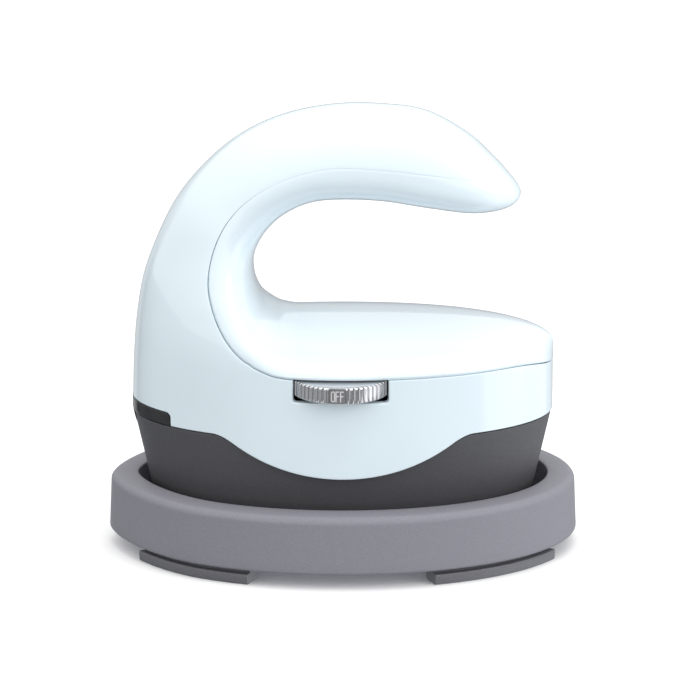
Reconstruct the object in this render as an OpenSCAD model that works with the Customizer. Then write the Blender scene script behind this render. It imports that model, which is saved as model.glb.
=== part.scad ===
// Mini handheld heat press in its safety base.
// Base on Z = 0, nose and open end of the handle towards +X,
// dial side towards -Y. All lengths in millimetres.

/* [Body] */
// Length of the casing's body
body_l = 113.8; // [108:0.2:118]
// Width of the casing's body
body_w = 65; // [60:0.5:68]
// Wall of the casing
wall = 2.2; // [1.8:0.1:2.4]
// Gap along the seam between casing and inner cover
seam_gap = 0.16; // [0.1:0.02:0.3]
// Rise of the domed deck above its seam
deck_rise = 8.3; // [7:0.1:9]
// Half width of the handle at its middle
handle_half = 16; // [14:0.5:18]

/* [Dial] */
// Radius of the thumbwheel over its ridges
dial_r = 13.5; // [12.5:0.1:13.6]
// Thickness of the thumbwheel
dial_t = 4.8; // [4:0.1:5]
// Number of ridges round the rim
dial_teeth = 60; // [40:4:72]
// Width of the window in the casing
window_w = 25.4; // [24.8:0.1:26]

/* [Cord outlet] */
// Radius of the cord's hole
cord_r = 3; // [2.5:0.1:3.2]

/* [Hot plate] */
// Radius of the tubular element
tube_r = 3.2; // [2.8:0.1:3.3]
// Half spacing of the element's two legs
leg_y = 11; // [10:0.5:11]

/* [Base] */
// Length of the base
base_l = 127; // [125:0.2:131]
// Width of the base
base_w = 85.8; // [84:0.2:92]
// Height of the feet
foot_h = 4.2; // [3:0.2:5]

/* [Hidden] */

shell_col = [0.82, 0.9, 0.93];
dark_col = [0.24, 0.24, 0.26];
base_col = [0.5, 0.5, 0.54];

A = body_l / 2;          // half length of the body
B = body_w / 2;          // half width of the body
XC = -0.1;               // centre of the body's plan ellipse
KX = A / 56.9;
KH = handle_half / 16;
Z_SEAM = 55;             // seam round the deck
Z_LOW = 38.4;            // lower edge of the casing away from the wave
Z_PARK = 8.1;            // underside of the hot plate when parked
dial_c = [-0.6, -24];    // dial axis
dial_z = 49.9;           // underside of the dial

// Stations along the form: handle tip, over the top, down the spine to
// the rear corner. Each is a line across the profile:
// outer x, outer z, inner x, inner z, half width, outer rounding,
// inner rounding, share of the line that is inner cover
ST = [
 [47.8, 98.7, 47.8, 98.1, 0.4, 0.5, 0.3, 1.0],
 [46.9, 100.5, 47, 96.6, 4.2, 2.8, 1.6, 0.96],
 [44.5, 103.6, 44.7, 95.1, 8.2, 6, 3.3, 0.79],
 [39.9, 108.6, 40.3, 94, 11.6, 10.2, 5.3, 0.64],
 [33, 114.8, 33.4, 93.7, 14.2, 14.8, 7.2, 0.535],
 [22, 120.7, 22, 95.2, 15.4, 17.4, 8.8, 0.455],
 [10, 122.4, 10, 97.1, 15.9, 17, 9.2, 0.44],
 [-2, 122.3, -2, 97.5, 16.1, 16.8, 9.2, 0.455],
 [-15, 119.8, -9.5, 96.4, 16.3, 16.8, 9.4, 0.45],
 [-27, 114.4, -16.1, 93, 16.6, 17, 9.8, 0.462],
 [-37.4, 105.8, -20.6, 88.4, 17.1, 17.6, 10.2, 0.485],
 [-45.9, 94.6, -23.2, 83.5, 18.4, 19.5, 10.6, 0.468],
 [-52.7, 79, -24, 79, 21.5, 30, 11, 0.42],
 [-55.3, 67, -23.3, 73.5, 22, 30, 10.4, 0.357],
 [-56.5, 54, -21, 68.3, 22, 30, 9.6, 0.29],
 [-57, 38.4, -17.2, 64.8, 22, 30, 8.9, 0.223]];
// Height of the seam past the rear corner, station by station
SZ = [58.91, 57.74, 57, 56.26, 55.5, 55.05, 55];
SC = 15;                 // station of the rear corner
NB = 16;                 // stations along the body
SMAX = SC + NB;

// Smooth curve through the rows of P
function cr(P, s) = let (K = len(P), t = min(max(s, 0), K - 1 - 1e-6),
    i = floor(t), f = t - i, b = P[i], c = P[i + 1],
    a = i > 0 ? P[i - 1] : 2 * b - c,
    d = i + 2 <= K - 1 ? P[i + 2] : 2 * c - b)
    0.5 * (2 * b + (c - a) * f + (2 * a - 5 * b + 4 * c - d) * f * f
    + (3 * b - a - 3 * c + d) * f * f * f);
function clamp(v, a, b) = min(max(v, a), b);
function sm(q) = let (t = clamp(q, 0, 1)) t * t * (3 - 2 * t);
// Quarter round of exponent n
function rnd(q, n) = let (t = clamp(q, 0, 1))
    pow(max(1 - pow(1 - t, n), 0), 1 / n);
// Crest of the deck, and the casing's lower edge with its wave
function crest(x) = let (r = clamp(abs(x) / (A + 0.1), 0, 1))
    Z_SEAM + deck_rise * pow(max(1 - pow(r, 3.4), 0), 1 / 3.4);
function zedge(x) = let (f = 27.6 + 0.0086 * x * x + 0.0000016 * pow(x, 4),
    h = clamp(0.5 + 0.5 * (Z_LOW - f) / 2.2, 0, 1))
    Z_LOW * (1 - h) + f * h - 2.2 * h * (1 - h);
function body_th(t) = let (a = -90 + 180 * t, b = -16.5 + 33 * t,
    h = clamp(0.5 + 0.5 * (a - b) / 24, 0, 1))
    b * (1 - h) + a * h + 24 * h * (1 - h);
OL = [for (r = ST) [r[0] * KX, r[1]]];
IL = concat([for (r = ST) [r[2] * KX, r[3]]],
    [for (j = [1:NB]) let (x = XC + (A + 0.1) * sin(body_th(j / NB)))
        [min(x, A + 0.05), crest(x) + 1.5 * pow(max(1 - (x + 17.2) / 5.9, 0), 2)]]);
DL = concat([for (r = ST) r[6]], [for (j = [1:NB]) deck_rise]);
WL = [for (r = ST) [r[4] * KH, r[5], r[7]]];
BACK = [for (k = [60:-1:0]) let (p = cr(OL, 7 + 8 * k / 60)) [p[1], p[0]]];
function outer_at(s) = s <= SC ? cr(OL, s)
    : let (x = XC + A * sin(-90 + 180 * min((s - SC) / NB, 1))) [x, zedge(x)];
function w_at(z) = 16.9 * KH + (B - 16.9 * KH) * sm((97 - z) / 41);
function d_at(z) = 18 + (A - 18) * sm((97 - z) / 41);
function seam_z(s) = let (x = outer_at(s)[0]) Z_SEAM - 55
    + cr([for (v = SZ) [v]], s - SC)[0]
    - 3.1 * pow(clamp((x - 40) / (A - 40), 0, 1), 3);
// Distance from p to the inner edge near the finger gap
IP = [for (k = [0:72]) cr(IL, k / 3)];
function near(p) = min([for (k = [0:71]) let (e = IP[k + 1] - IP[k],
    t = clamp((p - IP[k]) * e / (e * e), 0, 1)) norm(p - IP[k] - t * e)]);
function seam_u(s) = s <= SC ? cr(WL, s)[2]
    : let (o = outer_at(s), i = cr(IL, s)) (i[1] - seam_z(s)) / (i[1] - o[1]);

// Ends of the profile line at station s, inset by T
function ends(s, T) =
    let (o0 = outer_at(s), i0 = cr(IL, s), d0 = o0 - i0, L0 = norm(d0),
         e = d0 / L0, g = cr(IL, s + 0.02) - cr(IL, s - 0.02),
         c = s < 1 ? 1 : abs(d0[0] * g[1] - d0[1] * g[0]) / (norm(g) * L0),
         Te = min(T, 0.24 * L0), Ti = min(T / max(c, 0.4), 0.24 * L0),
         ki = sm((s - 13) / 4) * T / A, ko = sm((s - 10) / 2),
         i = i0 + Ti * e + [ki * (XC - i0[0]), 0],
         o = s <= SC ? o0 - Te * e * (1 - ko) + [Te * ko, 0]
             : o0 + [T / A * (XC - o0[0]), 0])
    [i, o, c];
// Fraction of that line where the seam is, moved by g
function rim_u(s, T, g) = let (q = ends(s, T), k = sm((s - SC) / 3),
    u = seam_u(s) + g / norm(q[1] - q[0]))
    s <= SC ? u : u * (1 - k) + k * (q[0][1] - seam_z(s) + g) / (q[0][1] - q[1][1]);

// Point of the form at station s, fraction u of the line from inner to
// outer edge, inset by T: x, half width, z
function form(s, u, T = 0) =
    let (q = ends(s, T), i = q[0], o = q[1], c = q[2],
         d = o - i, L = norm(d), p = i + u * d, x = p[0], z = p[1],
         kd = sm(s - 1) * (1 - sm((s - 20) / 2)),
         tI = u * L * c * (1 - kd) + (kd > 0 ? max(near(p) - T, 0) : 0) * kd,
         h = cr(WL, min(s, 12)), DI = max(cr(DL, s) - T, 0.3),
         wh = max(h[0] - T, 0.02) * rnd((1 - u) * L / max(h[1] - T, 0.2), 2.1),
         D = d_at(z) - T, r = (x - lookup(z, BACK) - T) / D,
         xi = r < 1 ? clamp(1 - r, 0, 1) : 0,
         xn = clamp((x - XC) / (A - T), 0, 1),
         wp = (w_at(z) - T) * sqrt(max(1 - xi * xi, 0))
            * (z < 66 ? sqrt(max(1 - xn * xn, 0)) : 1),
         k = sm((s - 10.5) / 2.5), n = 2 + 0.4 * sm((12.5 - s) / 3))
    [x, (wh * (1 - k) + wp * k) * rnd(tI / DI, n), z];

// Wall of one half of the casing, as a closed solid. side = -1 or 1
module half_wall(side, T, rows, cols) {
  s0 = 0.9;
  r1 = floor(rows / 2);
  sl = concat([for (i = [0:r1]) s0 + (SC - s0) * i / r1],
    [for (i = [1:rows - r1]) SC + NB * i / (rows - r1)]);
  ul = [for (j = [0:cols]) sin(90 * j / cols)];
  gap = seam_gap / 2;
  pts = concat(
    [for (s = sl) let (us = rim_u(s, 0, gap))
      for (v = ul) let (p = form(s, us + (1 - us) * v), e = s >= SMAX || (v == 1 && s <= SC))
        [p[0], e ? 0 : side * p[1], p[2]]],
    [for (s = sl) let (us = rim_u(s, T, gap))
      for (v = ul) let (p = form(s, (s <= 2.3 ? min(us, 0.86) + (0.98 - min(us, 0.86)) * v : us + (1 - us) * v), T),
          e = s >= SMAX || s < 2.3 || (v == 1 && s <= SC))
        [p[0], e ? 0 : side * p[1], p[2]]]);
  n = cols + 1; m = (rows + 1) * n;
  f1 = [for (i = [0:rows - 1], j = [0:cols - 1]) let (a = i * n + j)
      each [[a, a + 1, a + n + 1], [a, a + n + 1, a + n]]];
  f2 = [for (i = [0:rows - 1], j = [0:cols - 1]) let (a = m + i * n + j)
      each [[a + 1, a, a + n + 1], [a + n + 1, a, a + n]]];
  f3 = [for (i = [0:rows - 1]) let (a = i * n, b = i * n + cols)
      each [[a + n, m + a, a], [a + n, m + a + n, m + a],
            [b, m + b, b + n], [m + b, m + b + n, b + n]]];
  f4 = [for (j = [0:cols - 1]) let (a = j, b = rows * n + j)
      each [[a, m + a, a + 1], [m + a, m + a + 1, a + 1],
            [b + 1, m + b, b], [b + 1, m + b + 1, m + b]]];
  all = concat(f1, f2, f3, f4);
  polyhedron(pts, side > 0 ? all : [for (f = all) [f[2], f[1], f[0]]], convexity = 8);
}

// Wall of the inner cover, both sides in one piece
module cover_wall(T, rows, cols) {
  i0 = 5;                                    // first hollow row
  sl = [for (i = [0:rows]) i <= i0 ? 2.4 * i / i0
        : 2.4 + (SMAX - 2.4) * (i - i0) / (rows - i0)];
  n = cols + 1; w = 2 * cols + 1;
  function us(s, t) = min(rim_u(s, t, -seam_gap / 2), 0.985);
  // outer points: side by side per row, index i*w + j + cols
  po = [for (s = sl) let (q = us(s, 0)) for (j = [-cols:cols])
      let (p = form(s, q * (1 - cos(90 * abs(j) / cols))),
           e = s <= 0 || s >= SMAX || j == 0)
      [p[0], e ? 0 : sign(j) * p[1], p[2]]];
  pi_ = [for (s = sl) let (q = us(s, T)) for (j = [-cols:cols])
      let (p = form(max(s, 0.4), q * (s < 2.4 ? 0.96 : 1) * (1 - cos(90 * abs(j) / cols)), T),
           e = s <= 2.4 || s >= SMAX || j == 0)
      [p[0], e ? 0 : sign(j) * p[1], p[2]]];
  m = (rows + 1) * w;
  function o(i, j) = i * w + cols + ((i == 0 || i == rows) ? abs(j) : j);
  function q(i, j) = m + i * w + cols + ((i <= i0 || i == rows) ? abs(j) : j);
  function ok(f) = f[0] != f[1] && f[1] != f[2] && f[0] != f[2];
  f1 = [for (i = [0:rows - 1], j = [-cols:cols - 1])
      each [[o(i, j), o(i, j + 1), o(i + 1, j + 1)], [o(i, j), o(i + 1, j + 1), o(i + 1, j)]]];
  f2 = [for (i = [i0:rows - 1], j = [-cols:cols - 1])
      each [[q(i, j + 1), q(i, j), q(i + 1, j + 1)], [q(i + 1, j + 1), q(i, j), q(i + 1, j)]]];
  f3 = [for (i = [0:rows - 1]) each [
      [o(i + 1, -cols), q(i, -cols), o(i, -cols)],
      [o(i + 1, -cols), q(i + 1, -cols), q(i, -cols)],
      [o(i, cols), q(i, cols), o(i + 1, cols)],
      [q(i, cols), q(i + 1, cols), o(i + 1, cols)]]];
  polyhedron(concat(po, pi_), [for (f = concat(f1, f2, f3)) if (ok(f)) f], convexity = 8);
}

// Ring of n points: ellipse with half axes a, b whose rear end comes to
// a soft point, by the share g
function ring(a, b, g, z, n = 96, cx = XC) = [for (k = [0:n - 1])
    let (p = 360 * k / n, d = abs(180 - p),
         c = d < 52 ? 1 - g * pow(1 - d / 52, 1.8) : 1)
    [cx + a * cos(p), b * sin(p) * c, z]];
// Solid through a list of rings, closed at both ends
module loft(R) {
  n = len(R[0]); m = len(R);
  polyhedron([for (r = R) each r], concat([[for (k = [0:n - 1]) k]],
    [for (i = [0:m - 2], k = [0:n - 1]) let (a = i * n, k2 = (k + 1) % n)
      each [[a + k2, a + k, a + n + k], [a + k2, a + n + k, a + n + k2]]],
    [[for (k = [n - 1:-1:0]) (m - 1) * n + k]]), convexity = 6);
}
// Closed band through rings that come back to the first
module band(R) {
  n = len(R[0]); m = len(R);
  polyhedron([for (r = R) each r],
    [for (i = [0:m - 1], k = [0:n - 1]) let (a = i * n, b = ((i + 1) % m) * n, k2 = (k + 1) % n)
      each [[a + k2, a + k, b + k], [a + k2, b + k, b + k2]]], convexity = 6);
}
function flat(P) = [for (p = P) [p[0], p[1]]];

// Housing below the casing: taper and rear point by height
function hou_g(z) = 0.5 * clamp((Z_LOW - z) / 24, 0, 1);
function hou(z, t, dz = 0) = let (k = 0.222 * (Z_LOW - z) + t)
    [for (p = ring(A - 0.25 - k, B - 0.15 - k, hou_g(z), z)) p];
function hou_edge(t, dz) = [for (k = [0:95]) let (p = 360 * k / 96, d = abs(180 - p),
    x = XC + (A - 1) * cos(p), z = zedge(x) + dz, q = 0.222 * (Z_LOW - z),
    c = d < 52 ? 1 - hou_g(z) * pow(1 - d / 52, 1.8) : 1,
    tt = t < 0 ? q : max(t, q + 0.06))
    [XC + (A - 0.25 - tt) * cos(p), (B - 0.15 - tt) * sin(p) * c, z]];
IN = wall + 0.25;        // set back of the housing's collar in the casing

module tube_u(r, x0, x1) {
  for (s = [-1, 1]) translate([x0, s * leg_y, 0]) rotate([0, 90, 0])
    cylinder(r = r, h = x1 - x0, $fn = 32);
  translate([x1, 0, 0]) rotate([0, 0, -90]) rotate_extrude(angle = 180, $fn = 64)
    translate([leg_y, 0]) circle(r = r, $fn = 32);
}
module screw(r, l, hr, hh) {
  difference() {
    union() { translate([0, 0, -l]) cylinder(r = r, h = l + 0.01, $fn = 24);
      cylinder(r = hr, h = hh, $fn = 32); }
    for (a = [0, 90]) rotate([0, 0, a]) translate([-hr * 0.62, -0.35, hh * 0.45])
      cube([hr * 1.24, 0.7, hh]);
  }
}
// Round wire through points P
module wire(P, r, n = 8) {
  K = len(P);
  S = [for (i = [0:0.25:K - 1.001]) cr(P, i)];
  T = [for (i = [0:len(S) - 1]) let (d = S[min(i + 1, len(S) - 1)] - S[max(i - 1, 0)]) d / norm(d)];
  V = [for (i = [0:len(S) - 1]) let (u = cross(T[i], [0.31, 1, 0.17]), a = u / norm(u),
      b = cross(T[i], a)) for (k = [0:n - 1])
      S[i] + r * (a * cos(360 * k / n) + b * sin(360 * k / n))];
  m = len(S);
  polyhedron(V, concat([[for (k = [0:n - 1]) k]],
    [for (i = [0:m - 2], k = [0:n - 1]) let (a = i * n, k2 = (k + 1) % n)
      each [[a + k2, a + k, a + n + k], [a + k2, a + n + k, a + n + k2]]],
    [[for (k = [n - 1:-1:0]) (m - 1) * n + k]]), convexity = 4);
}

posts = [[43, 0], [-41, 0], [2, 20.3], [2, -20.3]];
lugs = [for (x = [-36, 36], y = [-15, 15]) [x, y]];
standoffs = [for (x = [-26, 26], y = [-7, 17]) [x, y]];
FL = 24.2;               // underside of the housing's floor
FT = 26.7;               // top of the housing's floor
BZ = 30;                 // underside of the control board
BT = 31.6;               // top of the control board

BA = base_l / 2; BB = base_w / 2; BG = 0.4;
module base_tray() color(base_col) {
  z0 = foot_h;
  difference() {
    loft([ring(BA - 1, BB - 1, BG, z0, cx = 0), ring(BA, BB, BG, z0 + 0.7, cx = 0),
      ring(BA - 0.5, BB - 0.6, BG, z0 + 13.7, cx = 0),
      ring(BA - 0.8, BB - 0.9, BG, z0 + 14.8, cx = 0),
      ring(BA - 1.6, BB - 1.7, BG, z0 + 15.6, cx = 0),
      ring(BA - 3, BB - 3.1, BG, z0 + 15.9, cx = 0)]);
    loft([ring(BA - 9.8, BB - 9.9, BG, z0 + 2.4, cx = 0),
      ring(BA - 8.8, BB - 8.9, BG, z0 + 3.6, cx = 0),
      ring(BA - 8.2, BB - 8.3, BG, z0 + 14.9, cx = 0),
      ring(BA - 7.8, BB - 7.9, BG, z0 + 15.6, cx = 0),
      ring(BA - 6.9, BB - 7, BG, z0 + 15.95, cx = 0)]);
  }
  // ribs that carry the hot plate
  for (x = [-28, 0, 28]) translate([x - 1.1, -19, z0 + 2.3]) cube([2.2, 38, 1.5]);
  for (y = [-8, 8]) translate([-38, y - 1.1, z0 + 2.3]) cube([76, 2.2, 1.5]);
}
module foot(sx, sy) {
  a0 = sx > 0 ? 23.2 : 114.2;
  a1 = sx > 0 ? 66.6 : 152;
  function at(t, k) = let (p = a0 + (a1 - a0) * k / 14, d = 180 - p,
      c = d < 52 ? 1 - BG * pow(1 - d / 52, 1.8) : 1)
    [(BA - t) * cos(p), sy * (BB - t) * sin(p) * c];
  function arc(t, c) = concat([for (k = [0:14]) at(t, k)],
    [for (k = [14:-1:0]) at(7.5 - c, k)]);
  translate([0, 0, 0.5]) linear_extrude(foot_h - 0.5) polygon(arc(1.2, 0));
  linear_extrude(0.5) polygon(arc(1.7, 0.5));
}
module base_feet() color([0.3, 0.3, 0.33])
  for (sx = [-1, 1], sy = [-1, 1]) foot(sx, sy);

module soleplate() color([0.55, 0.55, 0.57]) difference() {
  union() {
    translate([0, 0, Z_PARK]) linear_extrude(0.5) polygon(flat(ring(A - 7.6, B - 7.5, 0.5, 0)));
    translate([0, 0, Z_PARK + 0.5]) linear_extrude(0.9) polygon(flat(ring(A - 7.1, B - 7, 0.5, 0)));
    translate([0, 0, Z_PARK + 1.4]) linear_extrude(3.5) polygon(flat(ring(A - 9.2, B - 9, 0.5, 0)));
    // channel for the element
    for (s = [-1, 1]) translate([-30, s * leg_y - 4.8, 12.9]) cube([53, 9.6, 3]);
    translate([23, 0, 12.9]) intersection() {
      difference() { cylinder(r = leg_y + 4.8, h = 3, $fn = 96);
        translate([0, 0, -1]) cylinder(r = leg_y - 4.8, h = 5, $fn = 64); }
      translate([0, -20, 0]) cube([20, 40, 3]);
    }
    for (p = posts) translate([p[0], p[1], 12.9]) cylinder(r = 3, h = FL - 12.95, $fn = 32);
    for (x = [-14, 10]) translate([x, 0, 12.9]) cylinder(r = 3.2, h = 4.6, $fn = 32);
  }
  translate([0, 0, 15.2]) tube_u(tube_r + 0.05, -31, 23);
  for (p = posts) translate([p[0], p[1], 15]) cylinder(r = 1.5, h = 12, $fn = 24);
  for (x = [-14, 10]) translate([x, 0, 14]) cylinder(r = 1.25, h = 5, $fn = 24);
}
module heating_element() color([0.45, 0.43, 0.42]) {
  translate([0, 0, 15.2]) tube_u(tube_r, -31, 23);
  for (s = [-1, 1]) translate([-36.5, s * leg_y, 15.2]) rotate([0, 90, 0]) {
    cylinder(r = 1, h = 5.6, $fn = 24);
    translate([0, 0, 3.5]) cylinder(r = 2.3, h = 2.1, $fn = 24);
  }
}
module element_clamps() color([0.7, 0.7, 0.7]) for (x = [-14, 10]) difference() {
  translate([x - 4, -15, 18.45]) cube([8, 30, 1]);
  translate([x, 0, 18]) cylinder(r = 1.6, h = 2, $fn = 24);
}
module clamp_screws() color([0.6, 0.6, 0.6]) for (x = [-14, 10])
  translate([x, 0, 19.45]) screw(1.2, 5.2, 2.4, 1.3);
module insulation_pad() color([0.85, 0.83, 0.76]) difference() {
  translate([0, 0, 21]) linear_extrude(2.2) polygon(flat(ring(A - 10.9, B - 10.4, 0.4, 0)));
  for (p = posts) translate([p[0], p[1], 20]) cylinder(r = 3.3, h = 5, $fn = 32);
  for (s = [-1, 1]) translate([-36.5, s * leg_y, 20]) cylinder(r = 3, h = 5, $fn = 32);
  translate([30, 0, 20]) cylinder(r = 1.4, h = 5, $fn = 24);
}
module heat_shield() color([0.75, 0.76, 0.78]) difference() {
  union() {
    translate([0, 0, 23.3]) linear_extrude(0.6) polygon(flat(ring(A - 9.9, B - 9.4, 0.4, 0)));
    difference() {
      translate([0, 0, 20.9]) linear_extrude(2.5) polygon(flat(ring(A - 9.9, B - 9.4, 0.4, 0)));
      translate([0, 0, 20]) linear_extrude(4) polygon(flat(ring(A - 10.5, B - 10, 0.4, 0)));
    }
  }
  for (p = posts) translate([p[0], p[1], 20]) cylinder(r = 3.3, h = 5, $fn = 32);
  for (s = [-1, 1]) translate([-36.5, s * leg_y, 20]) cylinder(r = 3, h = 5, $fn = 32);
  translate([30, 0, 20]) cylinder(r = 1.4, h = 5, $fn = 24);
}
module thermal_fuse() color([0.8, 0.75, 0.6]) translate([-8, 0, 15]) rotate([0, 90, 0]) {
  cylinder(r = 2, h = 12, $fn = 32);
  translate([0, 0, -1.6]) cylinder(r = 0.5, h = 15.2, $fn = 24);
}
module strap(x, r, w, h) {
  difference() {
    union() {
      translate([x, 0, 13]) translate([-w / 2, -r - 0.6, 0]) cube([w, 2 * r + 1.2, h]);
      translate([x - w / 2, -6.1, 13]) cube([w, 12.2, 0.7]);
    }
    translate([x - w, 0, 15]) rotate([0, 90, 0]) cylinder(r = r, h = 2 * w, $fn = 32);
    translate([x - w, -r, 12]) cube([2 * w, 2 * r, 3]);
  }
}
module fuse_clip() color([0.72, 0.72, 0.74]) strap(-2, 2.06, 3, 4.8);
module temperature_sensor() color([0.2, 0.2, 0.22]) translate([20, 0, 15]) rotate([0, 90, 0]) {
  cylinder(r = 1.5, h = 6, $fn = 32);
  translate([0, 0, 6]) cylinder(r = 0.5, h = 1.2, $fn = 24);
}
module sensor_clip() color([0.72, 0.72, 0.74]) strap(23, 1.56, 3, 4);

module lower_housing() color(dark_col) difference() {
  union() {
    band([hou(9.6, 0.2), hou(10.2, 0), hou(16, 0), hou(22, 0),
      hou_edge(-1, -1.2), hou_edge(-1, -0.16), hou_edge(IN, -0.1),
      ring(A - IN, B - IN, 0, 40.6), ring(A - IN - 1.7, B - IN - 1.7, 0, 40.6),
      ring(A - IN - 1.8, B - IN - 1.8, 0, 33), hou(24, 2.1), hou(14, 2), hou(9.6, 1.9)]);
    translate([0, 0, FL]) linear_extrude(FT - FL) polygon(flat(hou(FL, 1.2)));
    for (p = lugs) {
      translate([p[0], p[1], FT - 0.5]) cylinder(r = 3.4, h = 14.4, $fn = 32);
      translate([p[0] - 1, min(p[1], sign(p[1]) * 19.8), FT - 0.5]) cube([2, abs(19.8 - abs(p[1])), 11]);
    }
    for (p = standoffs) translate([p[0], p[1], FT - 0.5]) cylinder(r = 2.8, h = BZ - FT + 0.5, $fn = 32);
  }
  for (p = lugs) translate([p[0], p[1], 31]) cylinder(r = 1.25, h = 12, $fn = 24);
  for (p = standoffs) translate([p[0], p[1], 25.5]) cylinder(r = 1.1, h = 8, $fn = 24);
  for (p = posts) translate([p[0], p[1], 20]) cylinder(r = 1.7, h = 12, $fn = 24);
  for (x = [-7, 6]) translate([x, -15.3, 24]) cylinder(r = 1.05, h = 5, $fn = 24);
  for (s = [-1, 1]) translate([-36.5, s * leg_y, 20]) cylinder(r = 2.6, h = 8, $fn = 32);
  translate([30, 0, 20]) cylinder(r = 2.6, h = 8, $fn = 32);
  // seat of the cord outlet
  translate([-60, -5, 33.3]) cube([9, 10, 10]);
}

module shell_half(side) {
  difference() {
    union() {
      half_wall(side, wall, 54, 13);
      for (x = [-36, 36]) translate([x - 4, side > 0 ? 11.4 : -22.2, 41.2]) cube([8, 10.8, 2.6]);
    }
    // notch for the cord outlet
    translate([-60, -30, 30]) cube([13.7, 60, 12]);
    for (p = lugs) translate([p[0], p[1], 38]) cylinder(r = 1.7, h = 9, $fn = 24);
    if (side < 0) translate([-0.6 - window_w / 2, -40, 48.9]) cube([window_w, 18, 8]);
  }
}
module right_shell() color(shell_col) shell_half(-1);
module left_shell() color(shell_col) shell_half(1);
module inner_cover() color([0.88, 0.94, 0.96]) {
  cover_wall(2, 60, 8);
  // clips that snap inside the casing
  for (x = [-22, 20], s = [-1, 1]) translate([x, s * (x < 0 ? 27.3 : 26.3) - 0.7, 49.5])
    cube([4.6, 1.4, 8.9]);
}
module cord_outlet() color([0.1, 0.1, 0.11]) difference() {
  intersection() {
    union() {
      difference() {
        translate([0, 0, Z_LOW]) linear_extrude(3.5) polygon(flat(ring(A, B, 0, 0, 144)));
        translate([0, 0, 30]) linear_extrude(20) polygon(flat(ring(A - wall, B - wall, 0, 0, 144)));
        translate([-46.4, -40, 30]) cube([110, 80, 20]);
      }
      translate([-60, -4.8, 33.5]) cube([14, 9.6, 8.4]);
    }
    union() {
      translate([0, 0, Z_LOW - 0.01]) linear_extrude(6) polygon(flat(ring(A - 0.05, B - 0.05, 0, 0, 144)));
      for (z = [33.4, 35.1, 36.8]) translate([0, 0, z]) linear_extrude(1.7)
        polygon(flat(hou(z + 0.6, 0)));
    }
  }
  translate([-62, 0, 37.7]) rotate([0, 90, 0]) cylinder(r = cord_r, h = 20, $fn = 48);
}

module dial_at() translate([dial_c[0], dial_c[1], dial_z]) children();
module dial() color([0.8, 0.8, 0.82]) dial_at() difference() {
  union() {
    cylinder(r = dial_r - 0.5, h = 0.6, $fn = 96);
    translate([0, 0, 0.6]) linear_extrude(dial_t - 1.1)
      polygon([for (k = [0:dial_teeth - 1], j = [0:3])
        let (p = 360 * (k + [0, 0.22, 0.5, 0.72][j]) / dial_teeth, r = j < 2 ? dial_r : dial_r - 0.45)
        [r * cos(p), r * sin(p)]]);
    translate([0, 0, dial_t - 0.5]) cylinder(r = dial_r - 0.5, h = 0.5, $fn = 96);
  }
  translate([0, 0, -1]) cylinder(r = 2, h = dial_t + 2, $fn = 32);
  translate([0, 0, dial_t - 1.2]) difference() {
    cylinder(r = dial_r - 5.5, h = 2, $fn = 64);
    translate([0, 0, -1]) cylinder(r = 4.5, h = 4, $fn = 48);
  }
  for (k = [0:3]) rotate([0, 0, -94 + 90 * k]) translate([dial_r - 1, -2.35, 0.6])
    cube([3, 4.7, dial_t - 1.1]);
}
module dial_labels() color([0.55, 0.55, 0.58]) dial_at() intersection() {
  for (k = [0:3]) rotate([0, 0, -94 + 90 * k]) translate([dial_r - 1, -2.3, 0.65])
    cube([3, 4.6, dial_t - 1.2]);
  cylinder(r = dial_r - 0.05, h = dial_t, $fn = 96);
}
module rotary_shaft() color([0.75, 0.75, 0.77]) translate([dial_c[0], dial_c[1], 42])
  cylinder(r = 2, h = dial_z + dial_t - 42.2, $fn = 32);
module rotary_switch() color([0.15, 0.2, 0.3]) translate([dial_c[0], dial_c[1], 0]) difference() {
  union() {
    translate([-5.7, -5.7, 40.8]) cube([11.4, 11.4, 5.6]);
    translate([0, 0, 46.3]) cylinder(r = 3.5, h = 2.7, $fn = 48);
    for (x = [-3.5, 0, 3.5]) translate([x, 1.5, 37.6]) cylinder(r = 0.5, h = 3.4, $fn = 24);
  }
  translate([0, 0, 41.8]) cylinder(r = 2.06, h = 10, $fn = 48);
}
module switch_nut() color([0.7, 0.7, 0.7]) translate([dial_c[0], dial_c[1], 47.55]) difference() {
  cylinder(r = 5.4, h = 1.4, $fn = 6);
  translate([0, 0, -1]) cylinder(r = 3.55, h = 4, $fn = 48);
}
module switch_bracket() color([0.7, 0.71, 0.73]) difference() {
  union() {
    translate([-9.5, -17.2, FT]) cube([18, 3.9, 1]);
    translate([-9.5, -14.3, FT]) cube([18, 1, 20.8]);
    translate([-9.5, -29.6, 46.5]) cube([18, 16.3, 1]);
  }
  translate([dial_c[0], dial_c[1], 40]) cylinder(r = 3.6, h = 10, $fn = 48);
  for (x = [-7, 6]) translate([x, -15.3, 25]) cylinder(r = 1.1, h = 5, $fn = 24);
}
module bracket_screws() color([0.6, 0.6, 0.6]) for (x = [-7, 6])
  translate([x, -15.3, FT + 1]) screw(1, 3, 0.95, 0.9);

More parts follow.
